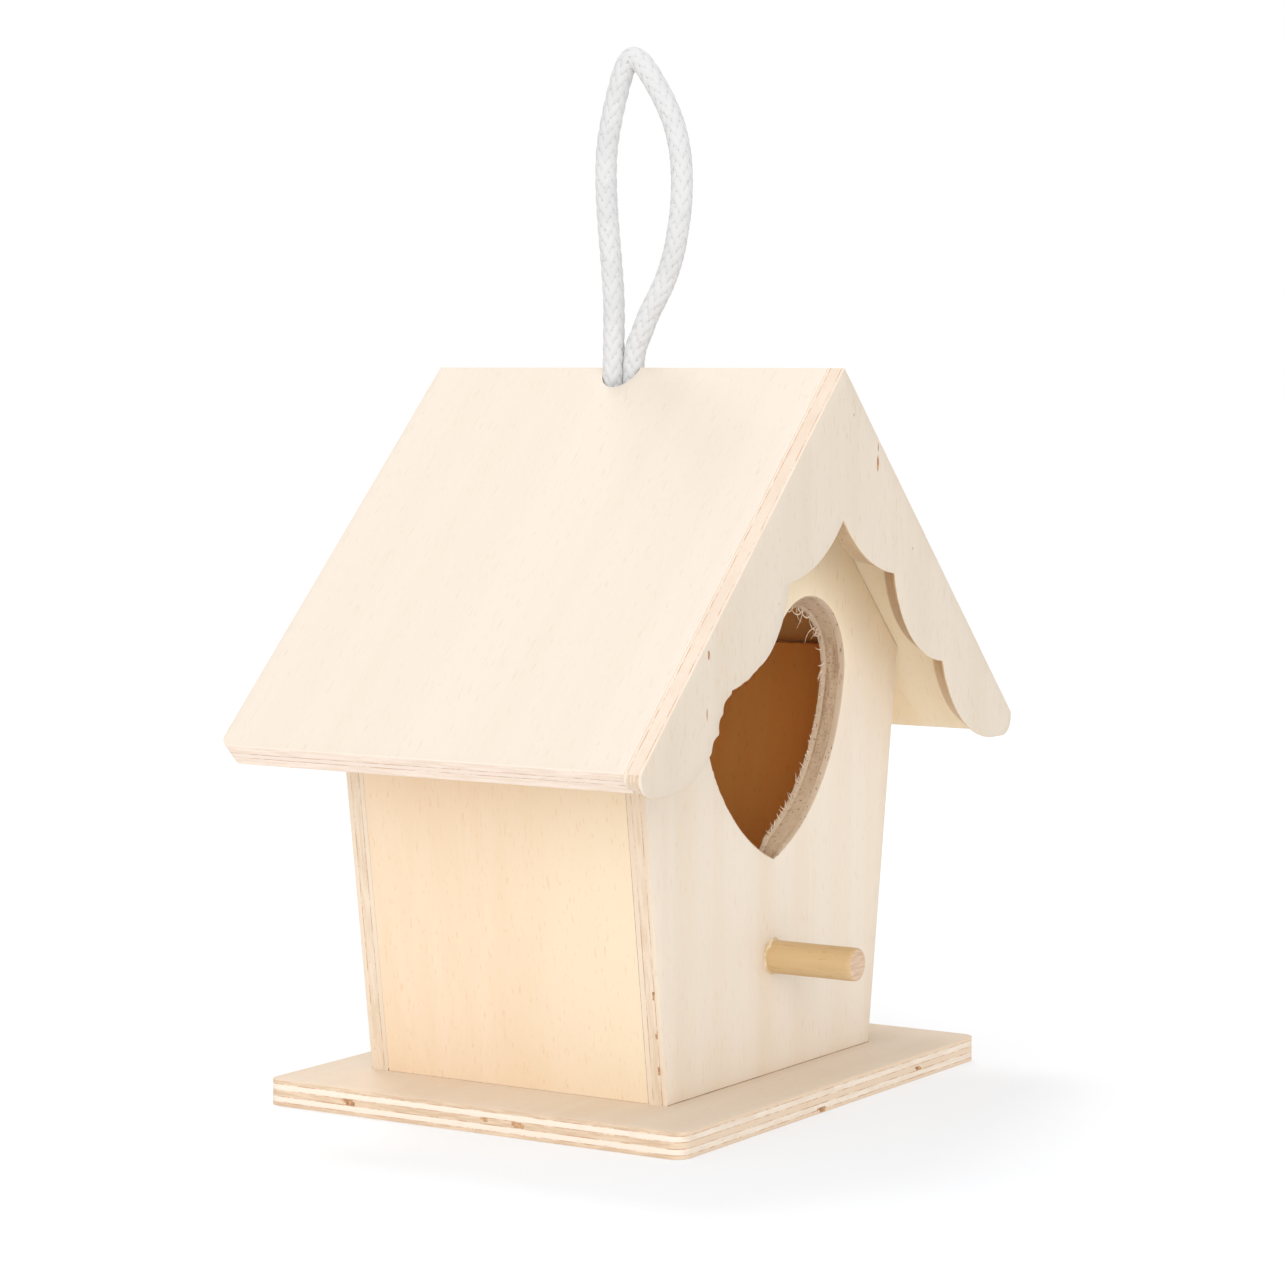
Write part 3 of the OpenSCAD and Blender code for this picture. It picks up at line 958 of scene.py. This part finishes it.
def make_side(side, sign):
    # The side walls' inside faces have painted indoor light, and their edges have painted warm shade
    wall = board(f"side_wall_{side}", f"side_panel_{side}", X * sign, Z, THREE_PLY,
                 skins(f"side_{side}", WARM, WALL_INSIDE_PAINTED_LIGHT, Z, Y, 41.0 + sign, SIDE_EDGE_PAINTED_SHADE, SIDE_EDGE_PAINTED_SHADE,
                       shift=(-Y, -8, 22, YELLOW)),
                 tapered=True, seam=side_seam)
    settle(wall)


def make_slope(side, sign):
    downhill = Vector((sign * math.cos(PITCH), 0, -math.sin(PITCH)))
    slope = board(f"roof_board_{side}", f"roof_{side}", Vector((sign, 0, 1)).normalized(), Z, (0.4, 0.62),
                  skins(f"roof_{side}", ROOF, UNDER, downhill, Y, 53.0 + sign, ROOF_EDGE, ROOF_MIDDLE,
                        rear=dict(painted_light_indoors=ROOF_INSIDE_PAINTED_LIGHT), figure=0.35, streaks=0.3),
                  tapered=True)
    settle(slope)


for side, sign in (("left", -1), ("right", 1)):
    make_side(side, sign)
    make_slope(side, sign)

# How far the scallops are cut back behind, how little of it the upper one has, and the height of the notch
# between it and the lower ones with the height over which it changes
GABLE_SLANT, UPPER_SHARE = 2.3, 0.15
UPPER_NOTCH, CHANGE = 94.8, 2.5


def below_rake(point):
    """How far a place on the gable is from its edge along the roof."""
    return (RIDGE_TOP - abs(point[0]) * math.tan(PITCH) - point[1]) * math.cos(PITCH)


def scalloped(point):
    return below_rake(point) > 3.2


def gable_slant(point, share):
    """How far a scallop is cut back at a share of the depth: the two lower ones are smaller behind."""
    lower = min(1.0, max(UPPER_SHARE, (UPPER_NOTCH + CHANGE - point[1]) / CHANGE))
    return GABLE_SLANT * share * lower * min(1.0, max(0.0, (below_rake(point) - 1) / 5))


# Where the lower left scallops are sawn worst, and the bites out of them: place, radius and how deep
BITTEN_AT, BITTEN_RADIUS = (-32, 81), 7
BITES = [((-40.6, 75.1), 2.8, 2.0), ((-41.7, 72.6), 2.6, 1.9), ((-43.7, 69.2), 2.2, 1.1),
         ((-45.4, 66.4), 1.6, 0.2), ((-45.0, 63.4), 1.2, 0.35)]


def gable_saw(loop, point, depth, thick):
    """How unevenly the saw followed the scallops, worst on the two lower ones on the left."""
    spot = Vector((point[0], point[1], 0))
    wander = 0.04 + 0.04 * noise.noise(spot * 0.45)
    bitten = max(0.0, 1 - math.dist(point, BITTEN_AT) / BITTEN_RADIUS)
    wander += bitten * (0.7 + 0.5 * noise.noise(Vector((point[0] * 0.5, point[1] * 0.5, 5))))
    wander += max(deep * max(0.0, 1 - (math.dist(point, place) / radius) ** 2)
                  for place, radius, deep in BITES)
    return wander + gable_slant(point, depth / thick)


# Knots and cracks in the gable's face: place, half width and height, depth, lean
GABLE_PITS = [Pit((12.5, 115.0), (0.36, 1.5), 0.4), Pit((12.6, 118.0), (0.14, 0.9), 0.2),
              Pit((-46.1, 84.2), (0.3, 0.8), 0.25), Pit((-46.6, 74.2), (0.16, 1.1), 0.25),
              Pit((26.2, 99.2), (0.14, 0.28), 0.06), Pit((3.5, 123.8), (0.16, 0.28), 0.15),
              Pit((-22.8, 91.5), (0.12, 0.2), 0.08)]


def make_gable():
    gable = board("gable_scallops", "gable_board", -Y, Z, (0.16, 0.82),
                  skins("gable", GABLE, GABLE, Z, X, 67.0, GABLE_EDGE, GABLE_MIDDLE,
                        (SCALLOP_EDGE_BURN_AND_SHADE, SCALLOP_MIDDLE_BURN_AND_SHADE)),
                  saw=gable_saw, pits=GABLE_PITS, rim_at=scalloped)
    settle(gable)


make_gable()

# ---------------------------------------------------------------- perch

PERCH_SIDES, PERCH_STEPS, BEVEL = 48, 24, 0.4


def perch_points(low, high):
    """Rings of points from the middle of the perch's free end to its other end, a little uneven."""
    centre, radius = (low + high) / 2, (high.x - low.x) / 2
    length = high.y - low.y
    stations = [(0.0, radius - BEVEL), (BEVEL * 0.35, radius - BEVEL * 0.4), (BEVEL, radius - 0.03)]
    stations += [(BEVEL + (length - BEVEL) * k / PERCH_STEPS, radius) for k in range(1, PERCH_STEPS + 1)]
    points = [Vector((centre.x + r * math.cos(a), low.y, centre.z + r * math.sin(a)))
              for r in (radius * 0.35, radius * 0.7) for a in turns(PERCH_SIDES)]
    for depth, r in stations:
        for a in turns(PERCH_SIDES):
            ripple = 0.03 * noise.noise(Vector((math.cos(a) * 3, math.sin(a) * 3, depth * 0.15)))
            points.append(Vector((centre.x + (r + ripple) * math.cos(a), low.y + depth,
                                  centre.z + (r + ripple) * math.sin(a))))
    return points


def make_perch():
    low, high = (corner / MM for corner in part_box("perch"))
    centre = (low + high) / 2
    verts, faces = perch_points(low, high), []
    rings = len(verts) // PERCH_SIDES
    for i in range(rings - 1):
        faces += between(i * PERCH_SIDES, (i + 1) * PERCH_SIDES, PERCH_SIDES)
    verts.append(Vector((centre.x, low.y, centre.z)))
    verts.append(Vector((centre.x, high.y, centre.z)))
    last = (rings - 1) * PERCH_SIDES
    for k in range(PERCH_SIDES):
        m = (k + 1) % PERCH_SIDES
        faces.append((len(verts) - 2, k, m))
        faces.append((len(verts) - 1, last + m, last + k))
    stick = wood("dowel_wood", Y, Z, tone(213, 184, 140), tone(201, 166, 118), tone(182, 140, 92),
                 tone(220, 192, 166), tone(202, 168, 140), seed=71.0, figure=0.8, streaks=1.0, flecks=0.4)
    perch = make_piece("perch_dowel", [p * MM for p in verts], faces, [stick])
    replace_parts(perch, "perch")
    settle(perch)


make_perch()

BEAD_SIDES, BEAD_ARC = 72, 7


def bead_points(centre, wall, radius, width, length):
    """Rings of points across the bead, each from the wall round to the perch and back, with lumps."""
    points = []
    for a in turns(BEAD_SIDES):
        lump = 0.85 + 0.5 * noise.noise(Vector((math.cos(a) * 1.6, math.sin(a) * 1.6, 4.2)))
        lump += 0.25 * noise.noise(Vector((math.cos(a) * 5, math.sin(a) * 5, 1.7)))
        for j in range(BEAD_ARC):
            t = math.pi / 2 * j / (BEAD_ARC - 1)
            out = radius - 0.05 + (width + 0.05) * lump * (1 - math.sin(t) * 0.96)
            along = length * lump * (1 - math.cos(t) * 0.98)
            points.append(Vector((centre.x + out * math.cos(a), wall - along, centre.z + out * math.sin(a))))
        points.append(Vector((centre.x + (radius - 0.06) * math.cos(a), wall,
                              centre.z + (radius - 0.06) * math.sin(a))))
    return points


def dried_glue():
    g = Graph("dried_glue")
    place = g.tree.nodes.new("ShaderNodeTexCoord").outputs["Object"]
    cloud = g.noise(place, 600.0, 3.0, 0.6)
    colour = g.mix(g.step(cloud, 0.35, 0.65), tone(232, 214, 182), tone(206, 176, 134))
    return g.finish(colour, 0.38, cloud, bump=0.3)


def make_bead():
    """The dried glue round the perch: an uneven fillet between it and the wall."""
    low, high = (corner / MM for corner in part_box("perch_glue"))
    perch_low, perch_high = (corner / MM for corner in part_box("perch"))
    radius = (perch_high.x - perch_low.x) / 2
    width, length = (high.x - low.x) / 2 - radius, high.y - low.y
    verts = bead_points((low + high) / 2, high.y, radius, width, length)
    faces = []
    n = BEAD_ARC + 1
    for k in range(BEAD_SIDES):
        faces += between(k * n, (k + 1) % BEAD_SIDES * n, n)
    bead = make_piece("perch_glue_bead", [p * MM for p in verts], faces, [dried_glue()])
    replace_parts(bead, "perch_glue")
    settle(bead)


make_bead()

# ---------------------------------------------------------------- studio

FLOOR_RADIUS, FLOOR_SIDES = 12.0, 96
# The paper is painted a little cooler under the house, against the warm light that the wood reflects onto it
COOL_WHITE, WHITE = (0.575, 0.59, 0.615, 1), (0.6, 0.6, 0.6, 1)
ROOM_LIGHT, BACKDROP = 0.72, 1.0


def make_floor():
    g = Graph("floor_paper")
    place = g.tree.nodes.new("ShaderNodeTexCoord").outputs["Object"]
    grain = g.noise(place, 400.0, 2.0, 0.5)
    out = g.add("VectorMath", {0: place}, out="Value", operation="LENGTH")
    paper = g.mix(g.step(out, 0.07, 0.22), COOL_WHITE, WHITE)
    paper = g.mix(g.math("MULTIPLY", grain, 0.1), paper, COOL_WHITE)
    glow = {"Emission Color": (1, 1, 1, 1), "Emission Strength": 0.38}
    material = g.finish(paper, 0.9, specular=0.1, **glow)
    rim = [Vector((math.cos(a), math.sin(a), 0)) * FLOOR_RADIUS for a in turns(FLOOR_SIDES)]
    faces = [(0, 1 + k, 1 + (k + 1) % FLOOR_SIDES) for k in range(FLOOR_SIDES)]
    make_piece("floor", [Vector((0, 0, 0)), *rim], faces, [material])


def soft_light(name, azimuth, elevation, strength, spread):
    """A distant light so broad that its shadows have no edges."""
    a, e = math.radians(azimuth), math.radians(elevation)
    away = Vector((math.sin(a) * math.cos(e), -math.cos(a) * math.cos(e), math.sin(e)))
    data = bpy.data.lights.new(name, "SUN")
    data.energy = strength
    data.angle = math.radians(spread)
    light = bpy.data.objects.new(name, data)
    light.location = AIM + away
    light.rotation_euler = (-away).to_track_quat("-Z", "Y").to_euler()
    bpy.context.collection.objects.link(light)


def make_world():
    """A white room: the backdrop is as pale as the lit floor, and lights the house a little less."""
    world = bpy.data.worlds.new("studio")
    world.use_nodes = True
    tree = world.node_tree
    back = tree.nodes["Background"]
    back.inputs["Color"].default_value = (1, 1, 1, 1)
    seen = tree.nodes.new("ShaderNodeLightPath").outputs["Is Camera Ray"]
    level = tree.nodes.new("ShaderNodeMapRange")
    level.inputs["To Min"].default_value = ROOM_LIGHT
    level.inputs["To Max"].default_value = BACKDROP
    tree.links.new(seen, level.inputs["Value"])
    tree.links.new(level.outputs["Result"], back.inputs["Strength"])
    bpy.context.scene.world = world


def make_studio():
    make_floor()
    make_world()
    soft_light("key", -105, 50, 0.6, 90)
    soft_light("top", 142, 62, 0.65, 16)
    soft_light("fill", -50, 12, 1.35, 60)
    bpy.context.scene.view_settings.view_transform = "Standard"


make_studio()
